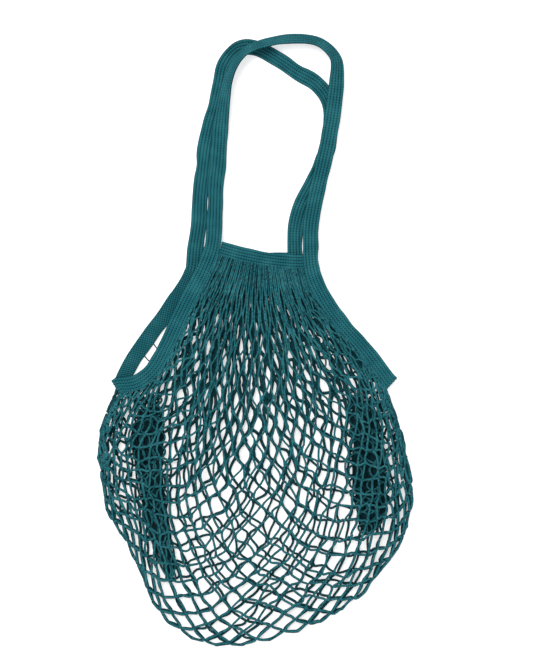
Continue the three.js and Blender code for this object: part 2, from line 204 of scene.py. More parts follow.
# Columns over and down: shares of the net's width and depth, from the left corner round the bottom
OUTLINE = [
    (-0.516, 0.449), (-0.514, 0.556), (-0.492, 0.656), (-0.428, 0.741), (-0.379, 0.836),
    (-0.318, 0.923), (-0.206, 0.985), (-0.084, 0.999), (0.051, 0.972), (0.17, 0.941),
    (0.283, 0.89), (0.379, 0.813), (0.45, 0.728), (0.479, 0.628), (0.463, 0.518), (0.428, 0.413),
]
# Columns over, down, half width and height of the folded netting inside each side: shares of the
# net's width, of its depth, of its width again and of the fold's height
LEFT_FOLD = [
    (-0.36, 0.4, 0.04, 0.5), (-0.368, 0.46, 0.055, 0.9), (-0.362, 0.53, 0.052, 1),
    (-0.352, 0.6, 0.045, 1), (-0.335, 0.68, 0.036, 0.9), (-0.312, 0.76, 0.026, 0.8),
    (-0.29, 0.83, 0.014, 0.5),
]
RIGHT_FOLD = [
    (0.315, 0.385, 0.035, 0.5), (0.33, 0.45, 0.05, 0.9), (0.342, 0.52, 0.058, 1),
    (0.346, 0.59, 0.058, 1), (0.346, 0.65, 0.048, 0.9), (0.342, 0.71, 0.026, 0.5),
]
# Where the strings of each fold come together under the corner of the tapes
LEFT_GATHER = (-0.372, 0.355, 0.048, 0.3)
RIGHT_GATHER = (0.322, 0.345, 0.04, 0.3)


# Curves

def read_smooth(rows, share):
    """Rows of numbers read smoothly at shares from 0 to 1 of the way along them."""
    rows = np.asarray(rows, float)
    last = len(rows) - 1
    scaled = np.clip(np.asarray(share, float), 0, 1) * last
    k = np.minimum(scaled.astype(int), last - 1)
    t = (scaled - k)[..., None]
    at = lambda n: rows[np.clip(n, 0, last)]
    slope_in = (at(k + 1) - at(k - 1)) / 2
    slope_out = (at(k + 2) - at(k)) / 2
    rise = at(k + 1) - at(k)
    cubic = slope_in + slope_out - 2 * rise
    return at(k) + t * (slope_in + t * (3 * rise - 2 * slope_in - slope_out + t * cubic))


def unit(vectors):
    """Vectors scaled to a length of one."""
    return vectors / np.maximum(np.linalg.norm(vectors, axis=-1, keepdims=True), 1e-9)


def turned(vectors, axes, angles):
    """Vectors turned about unit axes."""
    cos, sin = np.cos(angles)[:, None], np.sin(angles)[:, None]
    along = np.sum(vectors * axes, axis=1, keepdims=True)
    return vectors * cos + np.cross(axes, vectors) * sin + axes * along * (1 - cos)


def strap(left, handle, right, level, face):
    """Stations of a whole strap: a side edge, a handle and the other side edge."""
    rows = []
    for over, down, tilt, skew in left:
        rows.append((over * NET_WIDTH, -down * SIDE_DEPTH, level + TAPE_THICKNESS / 2, tilt, skew))
    for over, up, rest, tilt in handle:
        lift = TAPE_WIDTH / 2 * abs(math.sin(math.radians(tilt)))
        height = rest * FRONT_LEVEL + lift + TAPE_THICKNESS / 2
        rows.append((over * HANDLE_SPREAD, up * HANDLE_DROP, height, tilt, 0))
    for over, down, tilt, skew in right:
        rows.append((over * NET_WIDTH, -down * SIDE_DEPTH, level + TAPE_THICKNESS / 2, tilt, skew))
    steps = (len(rows) - 1) * STEPS_PER_ROW
    values = read_smooth(rows, np.arange(steps + 1) / steps)
    centre = values[:, :3].copy()
    centre[:, 2] = np.maximum(centre[:, 2], TAPE_THICKNESS / 2)
    along = unit(np.gradient(centre, axis=0))
    across = unit(np.cross(UP, along))
    across = turned(across, np.broadcast_to(UP, across.shape), np.radians(values[:, 4]))
    across = turned(across, along, np.radians(values[:, 3]))
    normal = unit(np.cross(along, across)) * face
    foot = (len(left) * STEPS_PER_ROW, (len(left) + len(handle) - 1) * STEPS_PER_ROW)
    return {"centre": centre, "along": along, "across": across, "normal": normal, "foot": foot}


def edge_point(way, position, side, reach):
    """Points beside one edge of a strap, at positions counted in stations."""
    edge = way["centre"] + way["across"] * side * reach
    position = np.clip(np.asarray(position, float), 0, len(edge) - 1)
    k = np.minimum(position.astype(int), len(edge) - 2)
    t = (position - k)[..., None]
    return edge[k] * (1 - t) + edge[k + 1] * t


def best_position(start, end, error):
    """Position between two stations where an error is smallest."""
    tries = np.linspace(start, end, SEARCH_STEPS)
    return tries[np.argmin(error(tries))]


STATION_KEYS = ("centre", "along", "across", "normal")


def part_of(way, start, end):
    """The stations of a way from start to end."""
    return {key: way[key][start:end + 1] for key in STATION_KEYS}


def reversed_way(way):
    """The same stations in the other order."""
    return {key: value[::-1] for key, value in way.items()}


def corner(front, back, direction):
    """Half turn that carries a tape at a corner from the front layer down to the back layer."""
    radius = (front["centre"][2] - back["centre"][2]) / 2
    middle = back["centre"] + UP * radius
    along = front["along"] * direction * np.array([1, 1, 0])
    out = unit(along - front["across"] * np.dot(along, front["across"]))
    turn = np.linspace(0, math.pi, CORNER_STEPS)[1:-1, None]
    normal = out * np.sin(turn) + UP * np.cos(turn)
    centre = middle + normal * radius
    same = np.ones_like(turn)
    return {"centre": centre, "along": out * same, "across": front["across"] * same, "normal": normal}


def station(way, n):
    """One station of a way."""
    return {key: way[key][n] for key in STATION_KEYS}


def joined(*ways):
    """Ways that follow each other, as one way."""
    return {key: np.concatenate([way[key] for way in ways]) for key in ways[0]}


def seam_angle(way, position, across):
    """Angle seen from above between a band's cut end and the strap beside it."""
    line = way["along"][int(round(position))]
    line = line * np.sign(np.dot(line, across))
    return math.atan2(across[0] * line[1] - across[1] * line[0], np.dot(across[:2], line[:2]))


def band(way, seats, level):
    """Stations of the band across the mouth, between the inner edges of a handle's two feet."""
    reach = TAPE_WIDTH / 2 + SEAM_GAP
    search = 3 * STEPS_PER_ROW
    left_foot, right_foot = way["foot"]
    height = lambda seat: lambda tries: np.abs(edge_point(way, tries, -1, reach)[:, 1] - seat)
    left = best_position(left_foot, left_foot + search, height(seats[0]))
    right = best_position(right_foot, right_foot - search, height(seats[1]))
    start = edge_point(way, left, -1, reach)
    end = edge_point(way, right, -1, reach)
    t = np.linspace(0, 1, BAND_STEPS)[:, None]
    centre = start * (1 - t) + end * t
    centre[:, 2] = level + TAPE_THICKNESS / 2
    centre[:, 1] -= (BAND_SAG * 4 * t * (1 - t))[:, 0]
    along = unit(np.gradient(centre, axis=0))
    across = unit(np.cross(UP, along))
    normal = np.tile(UP, (len(t), 1))
    return {"centre": centre, "along": along, "across": across, "normal": normal, "seats": (left, right)}


def sewn(square, way):
    """The same band with its cut ends turned to follow the strap that it is sewn to."""
    across = square["across"]
    fade = np.clip(1 - np.arange(len(across)) / SEAM_STATIONS, 0, 1)
    left, right = square["seats"]
    angles = seam_angle(way, left, across[0]) * fade
    angles = angles + seam_angle(way, right, across[-1]) * fade[::-1]
    centre = square["centre"].copy()
    centre[0] -= square["along"][0] * SEAM_GAP * SEAM_CLOSED
    centre[-1] += square["along"][-1] * SEAM_GAP * SEAM_CLOSED
    across = turned(across, np.tile(UP, (len(across), 1)), angles)
    return {**square, "centre": centre, "across": across}


def layer(way, mouth_band, seam, bulge, left_way, left_reach):
    """A function that gives places on one layer of netting from shares across and down."""
    reach = TAPE_WIDTH / 2 - TUCK
    lower = mouth_band["centre"] - mouth_band["across"] * (BAND_WIDTH / 2 - TUCK)
    right_foot = way["foot"][1]
    last = len(way["centre"]) - 1
    level = way["centre"][0, 2]
    near = lambda side_way, side_reach, point: lambda tries: np.linalg.norm(
        edge_point(side_way, tries, -1, side_reach)[:, :2] - point[:2], axis=1)
    left_foot = left_way["foot"][0]
    left_start = best_position(0, left_foot + STEPS_PER_ROW, near(left_way, left_reach, lower[0]))
    right_start = best_position(right_foot - STEPS_PER_ROW, last, near(way, reach, lower[-1]))
    gathered = lambda v: 1 - (1 - v) ** CORNER_GATHER

    def left(v):
        """Places down the left edge."""
        place = edge_point(left_way, left_start * (1 - gathered(v)), -1, left_reach)
        place[:, 2] = level
        return place

    right = lambda v: edge_point(way, right_start + (last - right_start) * gathered(v), -1, reach)
    top = lambda u: read_smooth(lower, u)
    one, nought = np.array([1.0]), np.array([0.0])
    rim = [left(one)[0], *((over * NET_WIDTH, -down * NET_DEPTH, seam) for over, down in OUTLINE)]
    rim.append(right(one)[0])

    def bottom(u):
        """Places round the bottom fold, from left to right."""
        line = read_smooth(rim, u)
        line[:, 2] = np.maximum(line[:, 2], seam)
        return line

    def place(u, v):
        """Places blended between the four edges, with the bulge of the layer on top."""
        t, b, l, r = top(u), bottom(u), left(v), right(v)
        a, c = u[:, None], v[:, None]
        corners = top(nought) * (1 - a) * (1 - c) + top(one) * a * (1 - c)
        corners = corners + bottom(nought) * (1 - a) * c + bottom(one) * a * c
        point = t * (1 - c) + b * c + l * (1 - a) + r * a - corners
        fall = v ** SHOULDER
        crown = (1 - (2 * u - 1) ** 4) * 4 * v * (1 - v)
        side = (1 - u) * l[:, 2] + u * r[:, 2]
        point[:, 2] = (1 - fall) * side + fall * b[:, 2] + bulge * crown
        return point

    return place


# Meshes

class Shape:
    """Points, faces and texture places of one mesh, gathered part by part."""

    def __init__(self):
        self.points = []
        self.faces = []
        self.places = []
        self.slots = []
        self.count = 0
        # Material slot of the parts that are added next
        self.slot = 0

    def add(self, points, faces, places):
        """Adds faces that count from the first of their points."""
        self.points.append(np.asarray(points, float).reshape(-1, 3))
        self.faces.append(np.asarray(faces, int) + self.count)
        self.places.append(np.asarray(places, float))
        self.slots.append(np.full(len(faces), self.slot))
        self.count += len(self.points[-1])

    def add_rings(self, rings, places, around):
        """Closed tube through rings of points. places: (ring, point, 2) with one extra point round."""
        length, sides = rings.shape[:2]
        n, k = np.meshgrid(np.arange(length - 1), np.arange(sides), indexing="ij")
        n, k = n.ravel(), k.ravel()
        after = (k + 1) % sides
        here, ahead = n * sides, (n + 1) * sides
        quads = np.stack([here + k, here + after, ahead + after, ahead + k], 1)
        uv = np.stack([places[n, k], places[n, k + 1], places[n + 1, k + 1], places[n + 1, k]], 1)
        if around < 0:
            quads, uv = quads[:, ::-1], uv[:, ::-1]
        self.add(rings, quads, uv)
        start = self.count - length * sides
        ends = [np.arange(sides)[::-1], (length - 1) * sides + np.arange(sides)]
        if around < 0:
            ends = [end[::-1] for end in ends]
        for end in ends:
            self.faces.append(end[None] + start)
            ring = end // sides
            self.places.append(places[ring, end % sides][None])
            self.slots.append(np.array([self.slot]))

    def build(self, name, *materials):
        """Makes the mesh in metres and puts the piece into the scene."""
        mesh = bpy.data.meshes.new(name)
        points = (np.concatenate(self.points) + SHIFT) * MM
        sizes = np.concatenate([np.full(len(f), f.shape[1]) for f in self.faces])
        loops = np.concatenate([f.ravel() for f in self.faces])
        mesh.vertices.add(len(points))
        mesh.vertices.foreach_set("co", points.ravel())
        mesh.loops.add(len(loops))
        mesh.loops.foreach_set("vertex_index", loops)
        mesh.polygons.add(len(sizes))
        mesh.polygons.foreach_set("loop_start", np.concatenate([[0], np.cumsum(sizes)[:-1]]))
        mesh.polygons.foreach_set("use_smooth", np.ones(len(sizes), bool))
        mesh.polygons.foreach_set("material_index", np.concatenate(self.slots))
        layer_uv = mesh.uv_layers.new(name="lay")
        mesh.update()
        uv = np.concatenate([p.reshape(-1, 2) for p in self.places])
        layer_uv.data.foreach_set("uv", (uv * MM).ravel())
        for material in materials:
            mesh.materials.append(material)
        mesh.validate()
        piece = bpy.data.objects.new(name, mesh)
        bpy.context.scene.collection.objects.link(piece)
        return piece


def tube(shape, path, radius, sides=STRING_SIDES):
    """Round string along a path, with its own radius at each point."""
    path = np.asarray(path, float)
    along = unit(np.gradient(path, axis=0))
    side = unit(np.cross(along, UP + 0.001))
    over = np.cross(side, along)
    angle = np.linspace(0, 2 * math.pi, sides + 1)
    radius = np.broadcast_to(radius, len(path))[:, None, None]
    spread = np.cos(angle)[None, :, None] * side[:, None] + np.sin(angle)[None, :, None] * over[:, None]
    rings = path[:, None] + radius * spread
    places = np.stack(np.broadcast_arrays(angle[None] * STRING_RADIUS, run_along(path)[:, None]), -1)
    shape.add_rings(rings[:, :-1], places, -1)


# Wrong side of a tape is told from its right side by texture places this far over
WRONG_SIDE = 1000.0


def tape_section(width, ribs, both_sides):
    """Points round a tape's section, across and up, and their marks for the texture places."""
    half = width / 2
    crest = TAPE_THICKNESS / 2
    right = np.linspace(half, -half, POINTS_PER_RIB * ribs + 1)
    valley = np.abs(np.cos(math.pi * (right / width + 0.5) * ribs)) ** 2.2
    edge = np.clip((half - np.abs(right)) / EDGE_ROUND, 0, 1) ** 0.5
    ridge = crest - RIB_RELIEF * valley * np.minimum(edge + 0.2, 1) - EDGE_DROP * (1 - edge)
    wrong = right[::-1]
    flat = -ridge[::-1] if both_sides else -crest + EDGE_DROP * (1 - edge[::-1])
    section = np.concatenate([np.stack([right, ridge], 1), np.stack([wrong, flat], 1)])
    marks = np.concatenate([right, wrong + (0 if both_sides else WRONG_SIDE), [right[0]]])
    return section, marks


def run_along(path):
    """Length walked at each point of a path."""
    return np.concatenate([[0], np.cumsum(np.linalg.norm(np.diff(path, axis=0), axis=1))])


def tape(name, way, width, ribs, material, both_sides, ripple):
    """Flat knitted tape, ribbed on its right side or on both, swept along stations."""
    half = width / 2
    section, marks = tape_section(width, ribs, both_sides)
    side, height = section[:, 0], section[:, 1]
    run = run_along(way["centre"])
    # Soft edges: each wanders by itself, and the whole tape ripples a little
    knots = RANDOM.normal(0, EDGE_WANDER, (int(run[-1] / WANDER_LENGTH) + 3, 3))
    pulls = read_smooth(knots, run / run[-1])
    outer = np.clip(side / half, 0, 1) ** 3
    inner = np.clip(-side / half, 0, 1) ** 3
    spread = side[None] + pulls[:, :1] * outer[None] - pulls[:, 1:2] * inner[None]
    crown = 1 - (side[None] / half) ** 2
    lift = height[None] + TAPE_RIPPLE * np.abs(pulls[:, 2:]) * crown * ripple
    rings = way["centre"][:, None] + way["across"][:, None] * spread[:, :, None]
    rings = rings + way["normal"][:, None] * lift[:, :, None]
    # The soft tape lies on the floor and never goes into it
    rings[:, :, 2] = np.maximum(rings[:, :, 2], FLOOR_GAP)
    places = np.stack(np.broadcast_arrays(marks[None], run[:, None]), -1)
    shape = Shape()
    middle = len(run) // 2
    frame_turn = np.dot(np.cross(way["across"][middle], way["normal"][middle]), way["along"][middle])
    shape.add_rings(rings, places, 1 if frame_turn > 0 else -1)
    piece = shape.build(name, material)
    sharpen_ends(piece.data, len(section))
    return piece


def sharpen_ends(mesh, sides):
    """Marks the edges of a swept tape's two end faces as sharp."""
    last = len(mesh.vertices) - sides
    ends = [set(range(sides)), set(range(last, last + sides))]
    for edge in mesh.edges:
        a, b = edge.vertices
        edge.use_edge_sharp = any(a in end and b in end for end in ends)


def rising(value):
    """A share that rises with a value from 0 and stays at 1 past it."""
    return np.clip(value, 0, 1)


def wander(count, calm, reach):
    """Smooth random walk of a value along a path."""
    knots = RANDOM.normal(0, reach, (max(int(count / calm), 2) + 2, 3))
    return read_smooth(knots, np.linspace(0, 1, count))


def drift(points, seed, size):
    """Slow change of place over the layer, the same for neighbouring knots."""
    waves = 6
    phase = np.random.default_rng(seed).uniform(0, 6.28, (waves, 3))
    turn = np.random.default_rng(seed + 1).normal(0, 1 / size, (waves, 2))
    total = np.zeros_like(points)
    for k in range(waves):
        total += np.sin(points[:, :2] @ turn[k][:, None] + phase[k]) / waves ** 0.5
    return total


def around_knot(shape, place, random):
    """Small lump where the strings meet on the bottom fold."""
    turn = np.linspace(-1, 1, 6)[:, None]
    heading = unit(random.normal(0, 1, (1, 3)) * [1, 1, 0.2])
    radius = STRING_RADIUS * np.sqrt(1.05 - turn[:, 0] ** 2) * KNOT_SIZE
    tube(shape, place + heading * turn * KNOT_LENGTH, radius)


def edge_loops(shape, way, knots):
    """Thin loops of string from a side tape to the edge of the net that hangs beside it."""
    inner = edge_point(way, np.arange(way["foot"][0] + 1), -1, TAPE_WIDTH / 2 - TUCK)
    for row in EDGE_LOOP_ROWS:
        knot = knots[row]
        nearest = inner[np.argmin(np.linalg.norm(inner[:, :2] - knot[:2], axis=1))]
        t = np.linspace(0, 1, 12)[:, None]
        path = nearest * (1 - t) + knot * t
        path[:, 1] -= EDGE_LOOP_SAG * np.sin(np.pi * t[:, 0])
        path[:, 2] = STRING_RADIUS
        tube(shape, path, STRING_RADIUS * 0.5)


def net_knots(place, seed, offset, random):
    """Places of a layer's knots by column and row, moved about more the freer they hang."""
    columns = 2 * NET_COLUMNS
    i, j = np.meshgrid(np.arange(columns + 1), np.arange(NET_ROWS + 1), indexing="ij")
    u = i.ravel() / columns
    v = np.minimum(j.ravel() / (NET_ROWS - 1 + LAST_ROW), 1)
    knots = place(u, v)
    inside = rising(np.minimum(u, 1 - u) * 8) * rising(v * 5)
    free = (inside * rising((1 - v) * 7))[:, None]
    slow = drift(knots, seed, SLOW_SIZE) * SLOW_REACH
    quick = random.normal(0, 1, knots.shape) * QUICK_REACH
    knots = knots + (slow + quick + [*offset, 0]) * free
    # Both layers share their knots on the bottom fold
    rim = (v == 1)
    shared = np.random.default_rng(RIM_SEED).normal(0, RIM_REACH, knots.shape)
    knots = knots + shared * rim[:, None] * inside[:, None] * [1, 1, 0]
    knots[rim, 2] = RIM_LEVEL
    return knots.reshape(columns + 1, NET_ROWS + 1, 3)


def net_spine(knots, column, way, random):
    """Places of one string at its knots, beside its partner and over or under its neighbours."""
    rows = np.arange(NET_ROWS + 1)
    after = np.minimum(column + 1, len(knots) - 1)
    before = np.maximum(column - 1, 0)
    across = unit(knots[after, rows] - knots[before, rows])
    lean = np.where(rows % 2 == 0, way, -way)[:, None]
    lean[-1] = lean[-1] * 0.3
    spine = knots[column, rows] + across * lean * STRING_RADIUS * PAIR_LEAN
    crowd = rising(1 - rows / NET_ROWS * 3)
    spine[:, 2] += crowd * (way * CROWD_STEP + random.normal(0, CROWD_REACH))
    return spine


def net_string(shape, spine, height, fuller):
    """One string through its knots, slack between them and stout where it meets its partner."""
    rows = np.arange(NET_ROWS + 1)
    count = NET_ROWS * STEPS_PER_BAR + 1
    share = np.arange(count) / (count - 1)
    straight = np.stack([np.interp(share * NET_ROWS, rows, spine[:, axis]) for axis in range(3)], 1)
    path = straight * STRAIGHTNESS + read_smooth(spine, share) * (1 - STRAIGHTNESS)
    phase = (share * NET_ROWS) % 1
    away = np.sin(np.pi * phase) * rising(share * 6)
    path += wander(count, STEPS_PER_BAR, SLACK) * away[:, None]
    # Strings are pressed thin under the band, and the hidden layer is fuller near it
    size = 1 - PRESSED * rising(1 - share * 5) + WIDENED * rising((share - 0.6) * 3)
    size = size + fuller * rising(2.4 - share * 4.4)
    join = rising(1 - np.minimum(phase, 1 - phase) * 4.5)
    uneven = wander(count, 3, 1)[:, 0]
    radius = STRING_RADIUS * size * (PLAIN_BAR + KNOT_SWELL * join + UNEVENNESS * uneven)
    path[:, 2] = np.maximum(path[:, 2], height + radius)
    tube(shape, path, radius)


def netting(name, place, material, seed, offset, height, fuller, loops_from=None):
    """One layer of netting: pairs of strings that meet and part again, row after row."""
    random = np.random.default_rng(seed)
    knots = net_knots(place, seed, offset, random)
    last = len(knots) - 1
    shape = Shape()
    for pair in range(NET_COLUMNS + 1):
        for way in (1, -1):
            # At even rows a string is in its own column, at odd rows in the one beside it
            column = 2 * pair + way * (np.arange(NET_ROWS + 1) % 2)
            if column.min() < 0 or column.max() > last:
                continue
            net_string(shape, net_spine(knots, column, way, random), height, fuller)
    for column in range(NET_ROWS % 2, last + 1, 2):
        around_knot(shape, knots[column, NET_ROWS], random)
    if loops_from is not None:
        edge_loops(shape, loops_from, knots[0])
    return shape.build(name, material)


# Materials

class Wires:
    """Short way to add nodes to a tree."""

    def __init__(self, nodes, links):
        self.nodes = nodes
        self.links = links

    def put(self, socket, value):
        """Gives a socket a link, or a plain value."""
        if isinstance(value, bpy.types.NodeSocket):
            self.links.new(value, socket)
        else:
            socket.default_value = value

    def maths(self, operation, *values):
        """Result of a Math node."""
        node = self.nodes.new("ShaderNodeMath")
        node.operation = operation
        for socket, value in zip(node.inputs, values):
            self.put(socket, value)
        return node.outputs[0]

    def split(self, vector):
        """The three parts of a vector."""
        node = self.nodes.new("ShaderNodeSeparateXYZ")
        self.links.new(vector, node.inputs[0])
        return node.outputs

    def noise(self, vector, scale, detail):
        """Noise from 0 to 1 at each place."""
        node = self.nodes.new("ShaderNodeTexNoise")
        self.put(node.inputs["Vector"], vector)
        node.inputs["Scale"].default_value = scale
        node.inputs["Detail"].default_value = detail
        return node.outputs["Fac"]

    def mix(self, factor, first, second):
        """Colour that goes from the first to the second."""
        node = self.nodes.new("ShaderNodeMix")
        node.data_type = "RGBA"
        self.put(node.inputs[0], factor)
        self.put(node.inputs[6], first)
        self.put(node.inputs[7], second)
        return node.outputs[2]

    def between(self, value, low, high, start=0.0, end=1.0):
        """Smooth step of a value between limits."""
        node = self.nodes.new("ShaderNodeMapRange")
        node.interpolation_type = "SMOOTHSTEP"
        for socket, item in zip(node.inputs, (value, low, high, start, end)):
            self.put(socket, item)
        return node.outputs[0]

    def bump(self, height, strength, distance):
        """Normal that follows a height."""
        node = self.nodes.new("ShaderNodeBump")
        node.inputs["Strength"].default_value = strength
        node.inputs["Distance"].default_value = distance
        self.links.new(height, node.inputs["Height"])
        return node.outputs["Normal"]


PLACES = (("Lay", "Vector"), ("Place", "Vector"))
TONES = (("Tone", "Color"), ("Light", "Color"), ("Dark", "Color"))
RESULTS = (("Tone", "Color"), ("Height", "Float"))


def effect_group(name, given, results):
    """An empty node group with named sockets, the wires in it and the sockets of its two ends."""
    group = bpy.data.node_groups.new(name, "ShaderNodeTree")
    for side, sockets in (("INPUT", given), ("OUTPUT", results)):
        for label, kind in sockets:
            group.interface.new_socket(label, in_out=side, socket_type="NodeSocket" + kind)
    wires = Wires(group.nodes, group.links)
    inward = group.nodes.new("NodeGroupInput").outputs
    outward = group.nodes.new("NodeGroupOutput").inputs
    return group, wires, inward, outward


def lay_places(wires, lay):
    """Places across and along a tape or string in millimetres, from its texture places."""
    split = wires.split(lay)
    across = wires.maths("MULTIPLY", split[0], 1 / MM)
    along = wires.maths("MULTIPLY", split[1], 1 / MM)
    return across, along


# Lengths of one stitch, and of one check of the waffle across and along, in millimetres
STITCH = 3.0
WAFFLE_ACROSS = 1.4
WAFFLE_ALONG = 1.45


def knit_effect():
    """Knitted tape: stitches and needle holes on its ribs, and a fine waffle on its wrong side, with
    painted shade in the low stitches, between the ribs, in the pits and in the holes.
    """
    given = (*PLACES, ("Width", "Float"), *TONES)
    group, wires, inward, outward = effect_group("knitted_tape", given, RESULTS)
    dark = inward["Dark"]
    across, along = lay_places(wires, inward["Lay"])
    wrong = wires.maths("GREATER_THAN", across, WRONG_SIDE / 2)
    right = wires.maths("SUBTRACT", 1.0, wrong)
    across = wires.maths("SUBTRACT", across, wires.maths("MULTIPLY", wrong, WRONG_SIDE))
    # Chains of slanting stitches, one to each rib
    share = wires.maths("ADD", wires.maths("DIVIDE", across, inward["Width"]), 0.5)
    rib = wires.maths("MULTIPLY", share, TAPE_RIBS)
    off_middle = wires.maths("ABSOLUTE", wires.maths("SUBTRACT", wires.maths("FRACT", rib), 0.5))
    step = wires.maths("DIVIDE", along, STITCH)
    chevron = wires.maths("FRACT", wires.maths("ADD", step, wires.maths("MULTIPLY", off_middle, 1.3)))
    leg = wires.maths("SINE", wires.maths("MULTIPLY", chevron, math.pi))
    beside = wires.maths("MULTIPLY", off_middle, 2.0)
    crown = wires.maths("SUBTRACT", 1.0, wires.maths("POWER", beside, 3.0))
    chain = wires.maths("MULTIPLY", leg, crown)
    # Checks of small pits on the wrong side
    check_a = wires.maths("SINE", wires.maths("MULTIPLY", across, math.pi / WAFFLE_ACROSS))
    check_b = wires.maths("SINE", wires.maths("MULTIPLY", along, math.pi / WAFFLE_ALONG))
    checks = wires.maths("MULTIPLY", check_a, check_b)
    waffle = wires.maths("ADD", wires.maths("MULTIPLY", checks, 0.6), 0.5)
    fuzz = wires.noise(inward["Place"], 2600.0, 2.0)
    cloud = wires.noise(inward["Place"], 60.0, 4.0)
    stitched = wires.maths("MULTIPLY", chain, right)
    height = wires.maths("ADD", stitched, wires.maths("MULTIPLY", waffle, wrong))
    height = wires.maths("ADD", height, wires.maths("MULTIPLY", fuzz, 0.35))
    # Painted shade: the low places of the stitches and the fuzz are darker
    tone = wires.mix(wires.between(height, -0.1, 0.75), dark, inward["Tone"])
    # Painted shade in the grooves between the ribs
    groove_shade = wires.maths("MULTIPLY", wires.between(off_middle, 0.34, 0.5, 0.0, 0.5), right)
    tone = wires.mix(groove_shade, tone, dark)
    tone = wires.mix(wires.between(cloud, 0.35, 0.75, 0.0, 0.55), tone, inward["Light"])
    # Painted shade in the pits of the waffle
    pit_shade = wires.maths("MULTIPLY", wires.between(waffle, 0.56, 0.18), wrong)
    tone = wires.mix(pit_shade, tone, dark)
    # Painted shade in the needle holes between the ribs, one to each stitch
    hole_run = wires.maths("ABSOLUTE", wires.maths("SUBTRACT", wires.maths("FRACT", step), 0.5))
    hole_shade = wires.maths("MULTIPLY", wires.between(off_middle, 0.27, 0.4), wires.between(hole_run, 0.3, 0.16))
    hole_shade = wires.maths("MULTIPLY", wires.maths("MULTIPLY", hole_shade, right), 0.75)
    tone = wires.mix(hole_shade, tone, dark)
    wires.put(outward["Tone"], tone)
    wires.put(outward["Height"], height)
    return group


def twist_effect():
    """Twisted cotton string: slanting plies with painted shade between them, loose fibres, flecks of fading
    and painted shade on its flanks.
    """
    given = (*PLACES, ("Normal", "Vector"), *TONES)
    group, wires, inward, outward = effect_group("twisted_string", given, RESULTS)
    light, dark = inward["Light"], inward["Dark"]
    across, along = lay_places(wires, inward["Lay"])
    turn = wires.maths("ADD", wires.maths("MULTIPLY", across, 0.82), wires.maths("MULTIPLY", along, 0.62))
    ply = wires.maths("ABSOLUTE", wires.maths("SINE", wires.maths("MULTIPLY", turn, math.pi)))
    fuzz = wires.noise(inward["Place"], 3000.0, 2.0)
    cloud = wires.noise(inward["Place"], 45.0, 3.0)
    fleck = wires.noise(inward["Place"], 420.0, 2.0)
    height = wires.maths("ADD", ply, wires.maths("MULTIPLY", fuzz, 0.5))
    # Painted shade: the grooves between the plies and the fuzz are darker
    tone = wires.mix(wires.between(height, 0.2, 1.2), dark, inward["Tone"])
    tone = wires.mix(wires.between(cloud, 0.4, 0.75, 0.0, 0.45), tone, light)
    tone = wires.mix(wires.between(fleck, 0.5, 0.72, 0.0, 0.7), tone, dark)
    tone = wires.mix(wires.between(fleck, 0.46, 0.3, 0.0, 0.5), tone, light)
    # The flanks of a string are darker than its top, where the neighbours keep the light off
    level = wires.maths("POWER", wires.maths("ABSOLUTE", wires.split(inward["Normal"])[2]), 0.7)
    flank = wires.maths("SUBTRACT", 1.0, level)
    tone = wires.mix(wires.between(flank, 0.12, 0.7, 0.0, 0.9), tone, dark)
    wires.put(outward["Tone"], tone)
    wires.put(outward["Height"], height)
    return group


def cotton(name, effect, strength, distance, values):
    """Dull cotton that wears one of the effects with its own values."""
    material = bpy.data.materials.new(name)
    material.use_nodes = True
    nodes, links = material.node_tree.nodes, material.node_tree.links
    shader = nodes["Principled BSDF"]
    shader.inputs["Roughness"].default_value = 0.88
    shader.inputs["Specular IOR Level"].default_value = 0.05
    shader.inputs["Sheen Weight"].default_value = 0.03
    shader.inputs["Sheen Roughness"].default_value = 0.5
    lay = nodes.new("ShaderNodeUVMap")
    lay.uv_map = "lay"
    surface = nodes.new("ShaderNodeTexCoord").outputs
    values = {
        "Lay": lay.outputs["UV"], "Place": surface["Object"], "Normal": surface["Normal"], **values,
    }
    wires = Wires(nodes, links)
    worn = nodes.new("ShaderNodeGroup")
    worn.node_tree = effect
    for socket in worn.inputs:
        wires.put(socket, values[socket.name])
    wires.put(shader.inputs["Base Color"], worn.outputs["Tone"])
    wires.put(shader.inputs["Normal"], wires.bump(worn.outputs["Height"], strength, distance))
    return material


def tones(tone, light, dark):
    """Plain, faded and shaded colour of a cotton."""
    return {"Tone": (*tone, 1), "Light": (*light, 1), "Dark": (*dark, 1)}


NET_DARK = (0.0005, 0.012, 0.018)
TAPE_TONES = tones((0.013, 0.12, 0.145), (0.03, 0.175, 0.2), (0.0005, 0.01, 0.015))
NET_TONES = tones((0.021, 0.172, 0.204), (0.05, 0.25, 0.285), NET_DARK)
# The lower layer and the inside of the folds look darker in the photo than the upper layer
# Painted shade: both are darker copies of the net's own cotton, for the shade under the upper layer and
# deep inside the folds
BACK_SHADED_TONES = tones((0.01, 0.088, 0.106), (0.024, 0.13, 0.145), NET_DARK)
DEEP_SHADE_TONES = tones((0.002, 0.03, 0.036), (0.005, 0.046, 0.053), NET_DARK)
KNIT_RELIEF = (0.9, 0.0005)
TWIST_RELIEF = (0.8, 0.0004)

knit = knit_effect()
twist = twist_effect()
tape_cotton = cotton("tape_cotton", knit, *KNIT_RELIEF, {"Width": TAPE_WIDTH, **TAPE_TONES})
band_cotton = cotton("band_cotton", knit, *KNIT_RELIEF, {"Width": BAND_WIDTH, **TAPE_TONES})
net_cotton = cotton("net_cotton", twist, *TWIST_RELIEF, NET_TONES)
# Shaded copies of the net cotton: the lower layer and the insides of the folds wear painted shade
shaded_back_cotton = cotton("shaded_back_cotton", twist, *TWIST_RELIEF, BACK_SHADED_TONES)
deep_shade_cotton = cotton("deep_shade_cotton", twist, *TWIST_RELIEF, DEEP_SHADE_TONES)

